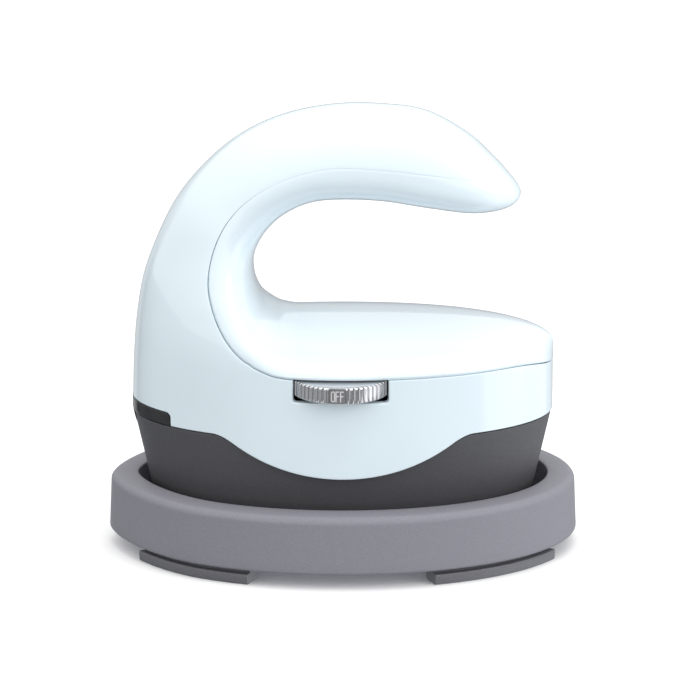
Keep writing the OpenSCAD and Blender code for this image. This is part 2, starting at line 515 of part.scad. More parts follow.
module control_board() color([0.1, 0.4, 0.2]) difference() {
  translate([-31, -11, BZ]) cube([62, 32, BT - BZ]);
  for (p = standoffs) translate([p[0], p[1], BZ - 1]) cylinder(r = 1.2, h = 5, $fn = 24);
}
module board_screws() color([0.6, 0.6, 0.6]) for (p = standoffs)
  translate([p[0], p[1], BT]) screw(1.05, 5, 2, 1.2);
module controller_chip() color([0.12, 0.12, 0.13]) {
  translate([-2, 8, BT + 0.2]) cube([10, 7, 1.6]);
  for (k = [0:6], s = [0, 1]) translate([-1.2 + 1.25 * k, s ? 14.9 : 7, BT]) cube([0.5, 1.1, 0.9]);
}
module power_relay() color([0.1, 0.2, 0.5]) translate([5.5, -9.5, BT]) cube([16, 12.5, 11]);
module film_capacitor() color([0.75, 0.6, 0.15]) translate([-9, -9.5, BT]) cube([13, 6, 10]);
module filter_capacitor() color([0.15, 0.15, 0.2]) translate([18.5, 9.5, BT]) cylinder(r = 4, h = 12, $fn = 48);
module terminal_block() color([0.15, 0.45, 0.3]) translate([-30, -1, BT]) difference() {
  cube([9, 12, 8.5]);
  for (y = [3, 9]) translate([4.5, y, 4.5]) cylinder(r = 1.8, h = 6, $fn = 24);
  for (y = [3, 9]) translate([-1, y, 3]) rotate([0, 90, 0]) cylinder(r = 1.3, h = 7, $fn = 24);
}
module board_fuse() color([0.8, 0.8, 0.75]) translate([-17, 15, BT + 2.6]) rotate([0, 90, 0]) {
  cylinder(r = 2.5, h = 15, $fn = 32);
}
module motion_switch() color([0.8, 0.65, 0.3]) translate([-14, 5, BT]) cylinder(r = 2.5, h = 7.5, $fn = 32);
module heater_leads() color([0.85, 0.2, 0.15]) for (s = [-1, 1])
  wire([[-36.5, s * leg_y, 16.35], [-36.5, s * leg_y, 20], [-36.5, s * leg_y, 24],
    [-36.4, s * 9.6, 28], [-36.2, s * 8 + 1, 32], [-34, s * 4.5 + 4, 34.6],
    [-30.2, s * 3 + 5, 34.6]], 1);
module sensor_leads() color([0.9, 0.9, 0.85])
  wire([[27.9, 0, 14.8], [27.9, 0, 17.2], [28.6, 0, 19], [29.8, 0, 20.6], [30, 0, 24], [30, 0, 28],
    [31.8, 1.5, 29.6], [33, 4, 31], [32, 7, 32.6], [29.2, 8, 32.4]], 0.6);
module soleplate_screws() color([0.6, 0.6, 0.6]) for (p = posts)
  translate([p[0], p[1], FT]) screw(1.45, 11, 2.8, 1.8);
module shell_screws() color([0.6, 0.6, 0.6]) for (p = lugs)
  translate([p[0], p[1], 43.8]) screw(1.2, 12, 2.6, 1.6);

base_tray();
base_feet();
soleplate();
heating_element();
element_clamps();
insulation_pad();
heat_shield();
thermal_fuse();
fuse_clip();
temperature_sensor();
sensor_clip();
lower_housing();
right_shell();
left_shell();
inner_cover();
cord_outlet();
dial();
dial_labels();
rotary_shaft();
rotary_switch();
switch_nut();
switch_bracket();
control_board();
controller_chip();
power_relay();
film_capacitor();
filter_capacitor();
terminal_block();
board_fuse();
motion_switch();
heater_leads();
sensor_leads();
soleplate_screws();
shell_screws();
board_screws();
bracket_screws();
clamp_screws();
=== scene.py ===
import math

import bmesh
import bpy
import numpy as np
from mathutils import Matrix, Vector


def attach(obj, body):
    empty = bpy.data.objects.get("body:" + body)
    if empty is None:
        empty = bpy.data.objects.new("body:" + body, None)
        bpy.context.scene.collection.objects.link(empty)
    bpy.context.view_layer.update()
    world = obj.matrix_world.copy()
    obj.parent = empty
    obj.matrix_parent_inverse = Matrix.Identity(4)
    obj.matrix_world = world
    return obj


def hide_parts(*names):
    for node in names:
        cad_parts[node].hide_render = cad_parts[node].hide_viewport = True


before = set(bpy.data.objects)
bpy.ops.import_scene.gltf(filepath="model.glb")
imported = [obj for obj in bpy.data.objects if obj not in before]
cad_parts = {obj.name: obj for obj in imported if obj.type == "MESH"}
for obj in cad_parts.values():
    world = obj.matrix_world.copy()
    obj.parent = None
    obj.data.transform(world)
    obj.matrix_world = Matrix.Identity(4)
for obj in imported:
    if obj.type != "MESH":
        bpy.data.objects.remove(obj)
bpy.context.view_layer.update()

# ---------------------------------------------------------------- form
# The same stations and curves as the part's construction, in millimetres.
A, B, XC = 56.9, 32.5, -0.1
SC, NB = 15, 16
SMAX = SC + NB
ST = np.array([
    [47.8, 98.7, 47.8, 98.1, 0.4, 0.5, 0.3, 1.0],
    [46.9, 100.5, 47, 96.6, 4.2, 2.8, 1.6, 0.96],
    [44.5, 103.6, 44.7, 95.1, 8.2, 6, 3.3, 0.79],
    [39.9, 108.6, 40.3, 94, 11.6, 10.2, 5.3, 0.64],
    [33, 114.8, 33.4, 93.7, 14.2, 14.8, 7.2, 0.535],
    [22, 120.7, 22, 95.2, 15.4, 17.4, 8.8, 0.455],
    [10, 122.4, 10, 97.1, 15.9, 17, 9.2, 0.44],
    [-2, 122.3, -2, 97.5, 16.1, 16.8, 9.2, 0.455],
    [-15, 119.8, -9.5, 96.4, 16.3, 16.8, 9.4, 0.45],
    [-27, 114.4, -16.1, 93, 16.6, 17, 9.8, 0.462],
    [-37.4, 105.8, -20.6, 88.4, 17.1, 17.6, 10.2, 0.485],
    [-45.9, 94.6, -23.2, 83.5, 18.4, 19.5, 10.6, 0.468],
    [-52.7, 79, -24, 79, 21.5, 30, 11, 0.42],
    [-55.3, 67, -23.3, 73.5, 22, 30, 10.4, 0.357],
    [-56.5, 54, -21, 68.3, 22, 30, 9.3, 0.29],
    [-57, 38.4, -17.2, 64.8, 22, 30, 8.3, 0.223]])
SZ = np.array([58.91, 57.74, 57.0, 56.26, 55.5, 55.05, 55.0])


def cr(P, s):
    P = np.asarray(P, float)
    if P.ndim == 1:
        P = P[:, None]
    K = len(P)
    s = np.clip(np.asarray(s, float), 0, K - 1 - 1e-9)
    i = np.floor(s).astype(int)
    f = (s - i)[..., None]
    Q = np.vstack([2 * P[0] - P[1], P, 2 * P[-1] - P[-2], 3 * P[-1] - 2 * P[-2]])
    a, b, c, d = Q[i], Q[i + 1], Q[i + 2], Q[i + 3]
    return 0.5 * (2 * b + (c - a) * f + (2 * a - 5 * b + 4 * c - d) * f ** 2
                  + (3 * b - a - 3 * c + d) * f ** 3)


def sm(q):
    t = np.clip(q, 0, 1)
    return t * t * (3 - 2 * t)


def rnd(q, n):
    q = np.clip(q, 0, 1)
    return np.maximum(1 - (1 - q) ** n, 0) ** (1.0 / n)


def crest(x):
    r = np.clip(np.abs(x) / 57.0, 0, 1)
    return 55.0 + 8.3 * np.maximum(1 - r ** 3.4, 0) ** (1 / 3.4)


def zedge(x):
    f = 27.6 + 0.0086 * x ** 2 + 1.6e-6 * x ** 4
    h = np.clip(0.5 + 0.5 * (38.4 - f) / 2.2, 0, 1)
    return np.where(h > 0, 38.4 * (1 - h) + f * h - 2.2 * h * (1 - h), 38.4)


def body_th(t):
    a, b = -90 + 180 * t, -16.5 + 33 * t
    h = np.clip(0.5 + 0.5 * (a - b) / 24.0, 0, 1)
    return b * (1 - h) + a * h + 24 * h * (1 - h)


def fillet(x):
    return 1.5 * np.maximum(1 - (x + 17.2) / 5.9, 0) ** 2


_x = XC + 57.0 * np.sin(np.radians(body_th(np.arange(1, NB + 1) / NB)))
IL = np.vstack([ST[:, 2:4], np.stack([_x, crest(_x) + fillet(_x)], -1)])
DL = np.concatenate([ST[:, 6], np.full(NB, 8.3)])
OL = ST[:, 0:2]
WL = ST[:, [4, 5, 7]]
_o = cr(OL, np.linspace(7, SC, 400))
ZB, XB = _o[::-1, 1], _o[::-1, 0]


def inner(s):
    p = cr(IL, s)
    z = np.where(np.asarray(s) >= 16, crest(p[..., 0]) + fillet(p[..., 0]), p[..., 1])
    return np.stack([p[..., 0], z], -1)


def outer(s):
    a = cr(OL, np.minimum(s, SC))
    t = np.clip((s - SC) / NB, 0, 1)
    x = XC + A * np.sin(np.radians(-90 + 180 * t))
    return np.where((s <= SC)[..., None], a, np.stack([x, zedge(x)], -1))


IP = inner(np.linspace(0, 24, 289))


def near(p):
    q = p.reshape(-1, 2)
    r = np.full(len(q), 1e9)
    a, e = IP[:-1], IP[1:] - IP[:-1]
    ee = (e * e).sum(1)
    for k in range(0, len(q), 8000):
        d = q[k:k + 8000, None, :] - a
        t = np.clip((d * e).sum(-1) / ee, 0, 1)
        r[k:k + 8000] = np.sqrt(((d - t[..., None] * e) ** 2).sum(-1)).min(1)
    return r.reshape(p.shape[:-1])


def w_at(z):
    return 16.9 + (B - 16.9) * sm((97 - z) / 41.0)


def d_at(z):
    return 18.0 + (A - 18.0) * sm((97 - z) / 41.0)


def plan(x, z):
    q = (x - np.interp(z, ZB, XB)) / d_at(z)
    xi = np.where(q < 1, np.clip(1 - q, 0, 1), 0)
    xn = np.clip((x - XC) / A, 0, 1)
    return w_at(z) * np.sqrt(np.maximum(1 - xi * xi, 0)) * np.where(
        z < 66, np.sqrt(np.maximum(1 - xn * xn, 0)), 1)


def wbody(x, z):
    slope = (crest(x + 0.01) - crest(x - 0.01)) / 0.02
    tc = np.maximum(crest(x) - z, 0) * np.maximum(1 / np.sqrt(1 + slope ** 2), 0.45)
    td = near(np.stack([x, z], -1))
    k = sm((x + 8) / 8)
    return plan(x, z) * rnd(((1 - k) * td + k * tc) / 8.3, 2.2)


def form(s, u):
    """x, half width, z at station s, fraction u from the inner to the outer edge."""
    s, u = np.broadcast_arrays(np.asarray(s, float), np.asarray(u, float))
    o, i = outer(s), inner(s)
    d = o - i
    L = np.linalg.norm(d, axis=-1)
    g = inner(s + 0.02) - inner(s - 0.02)
    c = np.abs(d[..., 0] * g[..., 1] - d[..., 1] * g[..., 0]) / (np.linalg.norm(g, axis=-1) * L + 1e-12)
    c = np.where(s < 1, 1.0, c)
    p = i + u[..., None] * d
    kd = sm(s - 1)
    tI = u * L * c * (1 - kd) + near(p) * kd
    x, z = p[..., 0], p[..., 1]
    h = cr(WL, np.minimum(s, 12))
    wh = h[..., 0] * rnd((1 - u) * L / h[..., 1], 2.1)
    k = sm((s - 10.5) / 2.5)
    n = 2.2 + 0.2 * sm((12.5 - s) / 3)
    w = (wh * (1 - k) + plan(x, z) * k) * rnd(tI / cr(DL, s)[..., 0], n)
    return x, w, z


def seam_u(s):
    s = np.asarray(s, float)
    o, i = outer(s), inner(s)
    zz = cr(SZ, s - SC)[..., 0] - 3.1 * np.clip((o[..., 0] - 40) / (A - 40), 0, 1) ** 3
    return np.where(s <= SC, cr(WL, np.minimum(s, SC))[..., 2],
                    (i[..., 1] - zz) / (i[..., 1] - o[..., 1]))


def stations(s0, s1, step):
    """Stations whose rows are at most step apart anywhere."""
    s = np.linspace(s0, s1, 4000)
    o, i = outer(s), inner(s)
    m = i + (o - i) * seam_u(s)[:, None]
    v = np.max([np.linalg.norm(np.diff(q, axis=0), axis=1) for q in (o, i, m)], axis=0) + 1e-4
    L = np.r_[0, np.cumsum(v)]
    n = max(int(L[-1] / step), 2)
    return np.interp(np.linspace(0, L[-1], n + 1), L, s)


# ---------------------------------------------------------------- meshes
def thicken(V, F, T, r, gap, mid):
    """Closed wall of thickness T inside the sheet V, F, its free edges rounded by r
    and set back by half of gap. mid flags points of the middle plane."""
    V = np.asarray(V, float)
    n = np.zeros_like(V)
    edge, fn = {}, []
    for k, f in enumerate(F):
        p = V[list(f)]
        c = np.cross(p[2] - p[0], p[3] - p[1]) if len(f) == 4 else np.cross(p[1] - p[0], p[2] - p[0])
        fn.append(c / (np.linalg.norm(c) + 1e-12))
        for a in f:
            n[a] += c
        for a, b in zip(f, f[1:] + f[:1]):
            edge[(a, b)] = k
    n[mid, 1] = 0
    n /= np.linalg.norm(n, axis=1)[:, None] + 1e-12
    inward = {}
    border = [(a, b) for (a, b) in edge if (b, a) not in edge]
    for a, b in border:
        d = np.cross(fn[edge[(a, b)]], V[b] - V[a])
        d /= np.linalg.norm(d) + 1e-12
        for v in (a, b):
            inward.setdefault(v, []).append(d)
    out = V.copy()
    inn = V - T[:, None] * n
    P0, tv = {}, {}
    for v, ds in inward.items():
        t = sum(ds)
        t = t / max(1 + float(ds[0] @ ds[-1]), 0.35) if len(ds) > 1 else t
        t = t - (t @ n[v]) * n[v]
        P0[v] = V[v] + 0.5 * gap[v] * t
        tv[v] = t
        out[v] = P0[v] + r[v] * t
        inn[v] = P0[v] - T[v] * n[v]
    verts = list(out) + list(inn)
    N = len(V)
    faces = [tuple(f) for f in F] + [tuple(N + a for a in f[::-1]) for f in F]
    M = 3
    ring = {}
    for v in inward:
        ids = [v]
        for k in range(1, M + 1):
            a = math.pi / 2 * k / M
            verts.append(P0[v] + r[v] * (1 - math.sin(a)) * tv[v] - r[v] * (1 - math.cos(a)) * n[v])
            ids.append(len(verts) - 1)
        ids.append(N + v)
        ring[v] = ids
    for a, b in border:
        for k in range(M + 1):
            faces.append((ring[b][k], ring[a][k], ring[a][k + 1], ring[b][k + 1]))
    return np.array(verts), faces


def merge(V, F, *extra, tol=1e-4):
    """Joins points that coincide."""
    key = np.round(np.asarray(V) / tol).astype(np.int64)
    _, first, inv = np.unique(key, axis=0, return_index=True, return_inverse=True)
    inv = inv.reshape(-1)
    F2 = []
    for f in F:
        g = []
        for a in f:
            b = int(inv[a])
            if b not in g:
                g.append(b)
        if len(g) >= 3:
            F2.append(tuple(g))
    return (np.asarray(V)[first], F2) + tuple(np.asarray(e)[first] for e in extra)


def add(name, V, F, body, mat, replaces=(), smooth=40):
    """A mesh in millimetres becomes a piece of the object."""
    me = bpy.data.meshes.new(name)
    me.from_pydata((np.asarray(V) * 0.001).tolist(), [], [tuple(int(i) for i in f) for f in F])
    bm = bmesh.new()
    bm.from_mesh(me)
    bmesh.ops.recalc_face_normals(bm, faces=bm.faces)
    for f in bm.faces:
        f.smooth = smooth > 0
    if smooth:
        lim = math.radians(smooth)
        for e in bm.edges:
            if len(e.link_faces) == 2 and e.calc_face_angle(0) > lim:
                e.smooth = False
    bm.to_mesh(me)
    bm.free()
    ob = bpy.data.objects.new(name, me)
    bpy.context.scene.collection.objects.link(ob)
    me.materials.append(mat)
    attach(ob, body)
    if replaces:
        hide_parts(*replaces)
    return ob


def grid_faces(R, C, flip=False, keep=None, close_c=False):
    F = []
    for i in range(R - 1):
        for j in range(C if close_c else C - 1):
            if keep is not None and not keep(i, j):
                continue
            k = (j + 1) % C
            f = (i * C + j, i * C + k, (i + 1) * C + k, (i + 1) * C + j)
            F.append(f[::-1] if flip else f)
    return F


def at_fraction(row, u, f):
    """Parameters u whose points lie at the fractions f of the row's length."""
    x, w, z = row
    d = np.sqrt(np.diff(x) ** 2 + np.diff(w) ** 2 + np.diff(z) ** 2)
    L = np.r_[0, np.cumsum(d)]
    return np.interp(f, L / L[-1], u)


G1, G2 = 12, 26
WX0, WX1, WZ, WR = -13.35, 12.15, 48.9, 0.8     # dial window: sides, sill, corner radius
XV = -14.45                                     # first upright row
NOTCH_X, NOTCH_Z, NOTCH_R = -46.3, 42.0, 1.3    # notch for the cord outlet


def shell_grid():
    """Points x, w, z of one casing half: rows along the form, columns from seam to edge."""
    rows, kinds = [], []
    f0 = np.linspace(0, 1, G1 + G2 + 1)
    zcr = np.interp(NOTCH_Z, ZB, np.linspace(7, SC, 400)[::-1])
    ss = stations(0.9, float(zcr), 0.9)
    t = np.sin(np.pi / 2 * np.linspace(0, 1, 160))
    for s in ss:
        us = float(seam_u(s))
        u = us + (1 - us) * t
        uf = at_fraction(form(np.full_like(u, s), u), u, f0)
        x, w, z = form(np.full_like(uf, s), uf)
        w[-1] = 0
        rows.append((x, w, z))
        kinds.append("s")
    # fan round the rear corner
    a0 = np.array([np.interp(NOTCH_Z, ZB, XB), NOTCH_Z])
    path = [a0 + (np.array([NOTCH_X - NOTCH_R, NOTCH_Z]) - a0) * q for q in np.linspace(0, 1, 12) ** 1.6]
    for q in np.linspace(90, 0, 7)[1:]:
        path.append(np.array([NOTCH_X - NOTCH_R + NOTCH_R * math.cos(math.radians(q)),
                              NOTCH_Z - NOTCH_R + NOTCH_R * math.sin(math.radians(q))]))
    for q in np.linspace(NOTCH_Z - NOTCH_R, 38.7, 4)[1:]:
        path.append(np.array([NOTCH_X, q]))
    for q in (210, 240, 270):
        path.append(np.array([NOTCH_X + 0.3 + 0.3 * math.cos(math.radians(q)),
                              38.7 + 0.3 * math.sin(math.radians(q))]))
    for x in np.linspace(NOTCH_X + 0.3, XV, 36)[1:]:
        path.append(np.array([x, float(zedge(x))]))
    path = np.array(path)
    L = np.r_[0, np.cumsum(np.linalg.norm(np.diff(path, axis=0), axis=1))]
    tt = L / L[-1]
    sf = float(zcr) + (20 - float(zcr)) * tt ** 0.9
    for k in range(1, len(path)):
        o, i = outer(np.array(sf[k])), inner(np.array(sf[k]))
        S = i + (o - i) * float(seam_u(sf[k]))
        if k == len(path) - 1:
            S = np.array([XV, 55.0])
        q = np.linspace(0, 1, 120)
        P = S + (path[k] - S) * q[:, None]
        row = (P[:, 0], wbody(P[:, 0], P[:, 1]), P[:, 1])
        fw = upright_fractions(XV)
        kk = float(sm(tt[k]))
        qf = at_fraction(row, q, f0 * (1 - kk) + fw * kk)
        P = S + (path[k] - S) * qf[:, None]
        rows.append((P[:, 0], wbody(P[:, 0], P[:, 1]), P[:, 1]))
        kinds.append("f")
    xs = [-13.9, WX0, WX0 + 0.5 * WR, WX0 + WR]
    xs += list(np.linspace(WX0 + WR, WX1 - WR, 26)[1:])
    xs += [WX1 - 0.5 * WR, WX1, WX1 + 0.6]
    th = np.linspace(math.acos((WX1 + 1.3 - XC) / A), 0, 64)
    xs += list(XC + A * np.cos(th))
    for x in xs:
        zs = 55 - 3.1 * np.clip((x - 40) / (A - 40), 0, 1) ** 3
        zb = float(zedge(x))
        z = upright(x, zs, zb)
        xx = np.full_like(z, x)
        w = wbody(xx, z)
        if x > XC + A - 1e-6:
            w[:] = 0
        rows.append((xx, w, z))
        kinds.append("x")
    X, W, Z = (np.array([r[k] for r in rows]) for k in range(3))
    return X, W, Z, kinds


def upright(x, zs, zb):
    top = np.r_[np.linspace(zs, WZ + WR, G1 - 1), WZ + 0.5 * WR, WZ]
    return np.r_[top, np.linspace(WZ, zb, G2 + 1)[1:]]


def upright_fractions(x):
    z = upright(x, 55.0, float(zedge(x)))
    return (z[0] - z) / (z[0] - z[-1])


def seam_edge(x, z, soft):
    """Edge rounding and gap of the seam with the cover: tight along the handle."""
    k = np.where(z > 80, sm((x + 42) / 22), 0.0)
    return soft * (1 - k) + 0.025 * k, 0.14 * (1 - k) + 0.012 * k


def shell(side, name, node, mat, window):
    X, W, Z, kinds = shell_grid()
    R, C = X.shape
    ia = next(i for i in range(R) if kinds[i] == "x" and abs(X[i, 0] - WX0) < 1e-6)
    ib = next(i for i in range(R) if kinds[i] == "x" and abs(X[i, 0] - WX1) < 1e-6)
    rad = np.full((R, C), 0.1)
    rad[:, -1] = np.where(np.array(kinds) == "s", 0.07, 0.22)
    rad[-1, :] = 0.07
    if window:
        for i0, sg in ((ia, 1), (ib, -1)):
            cx, cz = X[i0, 0] + sg * WR, WZ + WR
            for di, dj, q in ((0, 0, 45), (1, 0, 67.5), (0, 1, 22.5)):
                i, j = i0 + sg * di, G1 - dj
                X[i, j] = cx - sg * WR * math.cos(math.radians(q))
                Z[i, j] = cz - WR * math.sin(math.radians(q))
        W[ia:ib + 1] = wbody(X[ia:ib + 1], Z[ia:ib + 1])
        rad[ia:ib + 1, G1] = 0.26
        rad[ia, 1:G1] = rad[ib, 1:G1] = 0.26
    V = np.stack([X, side * W, Z], -1).reshape(-1, 3)
    keep = (lambda i, j: not (ia <= i < ib and j < G1)) if window else None
    F = grid_faces(R, C, flip=side > 0, keep=keep)
    thick = np.full((R, C), 2.2)
    s_rows = [i for i in range(R) if kinds[i] == "s"]
    for n_, i in enumerate(s_rows):
        thick[i] = 0.3 + 1.9 * float(sm((n_ - 2) / 14))
    mid = np.zeros((R, C), bool)
    mid[s_rows, C - 1] = True
    mid[len(s_rows) - 1, C - 1] = True
    mid[-1, :] = True
    gap = np.full((R, C), 0.1)
    n_s = len(s_rows)
    rad[:n_s, 0], gap[:n_s, 0] = seam_edge(X[:n_s, 0], Z[:n_s, 0], 0.1)
    gap[mid] = 0.06
    used = np.zeros(R * C, bool)
    for f in F:
        used[list(f)] = True
    idx = np.cumsum(used) - 1
    F = [tuple(int(idx[a]) for a in f) for f in F]
    pick = lambda a: a.reshape(-1)[used]
    V2, F2 = thicken(V[used], F, pick(thick), pick(rad), pick(gap), pick(mid))
    return add(name, V2, F2, "press", mat, (node,), smooth=50)


def cover(name, mat):
    n = 38
    ss = np.unique(np.r_[0, 0.08, 0.2, 0.35, 0.5, 0.65, 0.78, 0.875, 0.885, stations(0.95, SMAX, 0.85)])
    rows = []
    f0 = np.linspace(0, 1, n + 1)
    for s in ss:
        us = 1.0 if s < 0.88 else float(seam_u(s))
        if s < 0.88:
            u = 0.5 - 0.5 * np.cos(np.pi * np.linspace(0, 1, 200))
        else:
            u = us * (1 - np.cos(np.pi / 2 * np.linspace(0, 1, 200)))

        def ev(u):
            if s < SC:
                return form(np.full_like(u, s), u)
            o, i = outer(np.array(s)), inner(np.array(s))
            p = i + u[:, None] * (o - i)
            return p[:, 0], wbody(p[:, 0], p[:, 1]), p[:, 1]
        uf = at_fraction(ev(u), u, f0)
        x, w, z = ev(uf)
        w[0] = 0
        if s < 0.88:
            w[-1] = 0
        if s >= SMAX - 1e-6:
            w[:] = 0
        rows.append((x, w, z, s))
    R, C = len(rows), 2 * n + 1
    V = np.zeros((R, C, 3))
    thick = np.zeros((R, C))
    mid = np.zeros((R, C), bool)
    for i, (x, w, z, s) in enumerate(rows):
        V[i, n:] = np.stack([x, w, z], -1)
        V[i, :n] = np.stack([x, -w, z], -1)[:0:-1]
        thick[i] = min(2.0, 0.12 + 0.9 * s)
        mid[i, n] = True
        if s < 0.88:
            mid[i, 0] = mid[i, -1] = True
    mid[-1] = True
    F = grid_faces(R, C, flip=True)
    V = V.reshape(-1, 3)
    tip = len(V)
    V = np.vstack([V, V[:C].mean(0) + [0.12, 0, 0]])
    F += [(tip, j, j + 1) for j in range(C - 1)]
    q = lambda a, v: np.r_[a.reshape(-1), v]
    V, F, thick, mid = merge(V, F, q(thick, 0.12), q(mid, True))
    rad, gap = seam_edge(V[:, 0], V[:, 2], 0.75)
    V2, F2 = thicken(V, F, thick, rad, gap, mid)
    return add(name, V2, F2, "press", mat, ("inner_cover",), smooth=50)


def ogive(p, g):
    """Share of the half width kept at angle p where the rear comes to a soft point."""
    d = np.abs(180 - np.mod(p, 360))
    return np.where(d < 52, 1 - g * np.maximum(1 - d / 52, 0) ** 1.8, 1)


def loft(rings, close=True, cap0=True, cap1=True):
    R = np.array(rings)
    m, n, _ = R.shape
    V = R.reshape(-1, 3)
    F = grid_faces(m, n, close_c=True)
    if cap0:
        c = len(V)
        V = np.vstack([V, R[0].mean(0)])
        F += [(c, (j + 1) % n, j) for j in range(n)]
    if cap1:
        c = len(V)
        V = np.vstack([V, R[-1].mean(0)])
        o = (m - 1) * n
        F += [(c, o + j, o + (j + 1) % n) for j in range(n)]
    return V, F


def ring(a, b, g, z, n=288, cx=XC):
    p = np.arange(n) * 360.0 / n
    r = np.radians(p)
    return np.stack([cx + a * np.cos(r), b * np.sin(r) * ogive(p, g), np.full(n, z)], -1)


def arc_pts(c, r, a0, a1, n):
    return [(c[0] + r * math.cos(math.radians(a0 + (a1 - a0) * k / n)),
             c[1] + r * math.sin(math.radians(a0 + (a1 - a0) * k / n))) for k in range(n + 1)]


# ---------------------------------------------------------------- materials
class Mat:
    """Small helper that builds a node material."""

    def __init__(self, name, **sockets):
        self.m = bpy.data.materials.new(name)
        self.m.use_nodes = True
        self.t = self.m.node_tree
        self.b = self.t.nodes["Principled BSDF"]
        self.coord = self.t.nodes.new("ShaderNodeTexCoord")
        for k, v in sockets.items():
            self.b.inputs[k.replace("_", " ")].default_value = v

    def noise(self, scale, detail=3.0, rough=0.5, stretch=None):
        n = self.t.nodes.new("ShaderNodeTexNoise")
        n.inputs["Scale"].default_value = scale
        n.inputs["Detail"].default_value = detail
        n.inputs["Roughness"].default_value = rough
        if stretch:
            mp = self.t.nodes.new("ShaderNodeMapping")
            mp.inputs["Scale"].default_value = stretch
            self.t.links.new(self.coord.outputs["Object"], mp.inputs["Vector"])
            self.t.links.new(mp.outputs["Vector"], n.inputs["Vector"])
        else:
            self.t.links.new(self.coord.outputs["Object"], n.inputs["Vector"])
        return n.outputs["Fac"]

    def ramp(self, fac, stops):
        r = self.t.nodes.new("ShaderNodeValToRGB")
        e = r.color_ramp.elements
        while len(e) < len(stops):
            e.new(0.5)
        for k, (p, c) in enumerate(stops):
            e[k].position = p
            e[k].color = (c[0], c[1], c[2], 1)
        self.t.links.new(fac, r.inputs["Fac"])
        return r.outputs["Color"]

    def rng(self, fac, a, b, lo=0.3, hi=0.7):
        r = self.t.nodes.new("ShaderNodeMapRange")
        r.inputs["From Min"].default_value = lo
        r.inputs["From Max"].default_value = hi
        r.inputs["To Min"].default_value = a
        r.inputs["To Max"].default_value = b
        self.t.links.new(fac, r.inputs["Value"])
        return r.outputs["Result"]

    def set(self, socket, out):
        self.t.links.new(out, self.b.inputs[socket])

    def bump(self, fac, dist, strength=1.0):
        n = self.t.nodes.new("ShaderNodeBump")
        n.inputs["Strength"].default_value = strength
        n.inputs["Distance"].default_value = dist
        self.t.links.new(fac, n.inputs["Height"])
        self.t.links.new(n.outputs["Normal"], self.b.inputs["Normal"])
        return n


def vary(c, k):
    return tuple(min(max(v * k, 0), 1) for v in c)


def plain(name, col, rough, metal=0.0, scale=900, amount=0.08, bump=0.0, stretch=None, coat=0.0, spec=0.5):
    m = Mat(name, Metallic=metal, Coat_Weight=coat, Coat_Roughness=0.06, Specular_IOR_Level=spec)
    f = m.noise(scale, 4, 0.6, stretch)
    m.set("Base Color", m.ramp(f, [(0.25, vary(col, 1 - amount)), (0.75, vary(col, 1 + amount))]))
    m.set("Roughness", m.rng(f, rough * 0.85, rough * 1.15))
    if bump:
        m.bump(f, bump)
    return m.m


def gloss_shell(name, col):
    m = Mat(name, Coat_Weight=1.0, Coat_Roughness=0.02, IOR=1.5, Specular_IOR_Level=0.25)
    a, b = m.noise(60, 2, 0.5), m.noise(4500, 2, 0.5)
    m.set("Base Color", m.ramp(a, [(0.3, vary(col, 0.99)), (0.7, vary(col, 1.01))]))
    m.set("Roughness", m.rng(b, 0.2, 0.26))
    m.bump(b, 0.0000006, 0.4)
    return m.m


M_SHELL = gloss_shell("shell_plastic", (0.71, 0.812, 0.862))
M_COVER = gloss_shell("cover_plastic", (0.715, 0.812, 0.87))


def grained(name, col, rough, grain, size, spec=0.5):
    """Moulded plastic with a fine spark-eroded grain."""
    m = Mat(name, IOR=1.48, Specular_IOR_Level=spec)
    a = m.noise(size, 3, 0.65)
    b = m.noise(size * 0.31, 2, 0.5)
    c = m.noise(size * 2.2, 1, 0.5)
    m.set("Base Color", m.ramp(c, [(0.3, vary(col, 0.8)), (0.62, col), (0.78, vary(col, 1.5))]))
    m.set("Roughness", m.rng(b, rough * 0.9, rough * 1.1))
    m.bump(a, grain)
    return m.m


M_HOUSING = grained("housing_plastic", (0.08, 0.079, 0.087), 0.5, 0.00004, 2600)
M_BASE = grained("base_silicone", (0.246, 0.243, 0.276), 0.5, 0.000012, 3800, spec=0.22)
M_FOOT = grained("foot_rubber", (0.135, 0.134, 0.150), 0.42, 0.00003, 1800)
M_OUTLET = plain("outlet_plastic", (0.008, 0.008, 0.009), 0.16, coat=0.2, scale=500, bump=0.000001)


def metal(name, col, rough, stretch):
    m = Mat(name, Metallic=1.0)
    f = m.noise(700, 4, 0.6, stretch)
    m.set("Base Color", m.ramp(f, [(0.3, vary(col, 0.93)), (0.7, vary(col, 1.04))]))
    m.set("Roughness", m.rng(f, rough * 0.75, rough * 1.25))
    m.bump(f, 0.000002, 0.6)
    return m.m


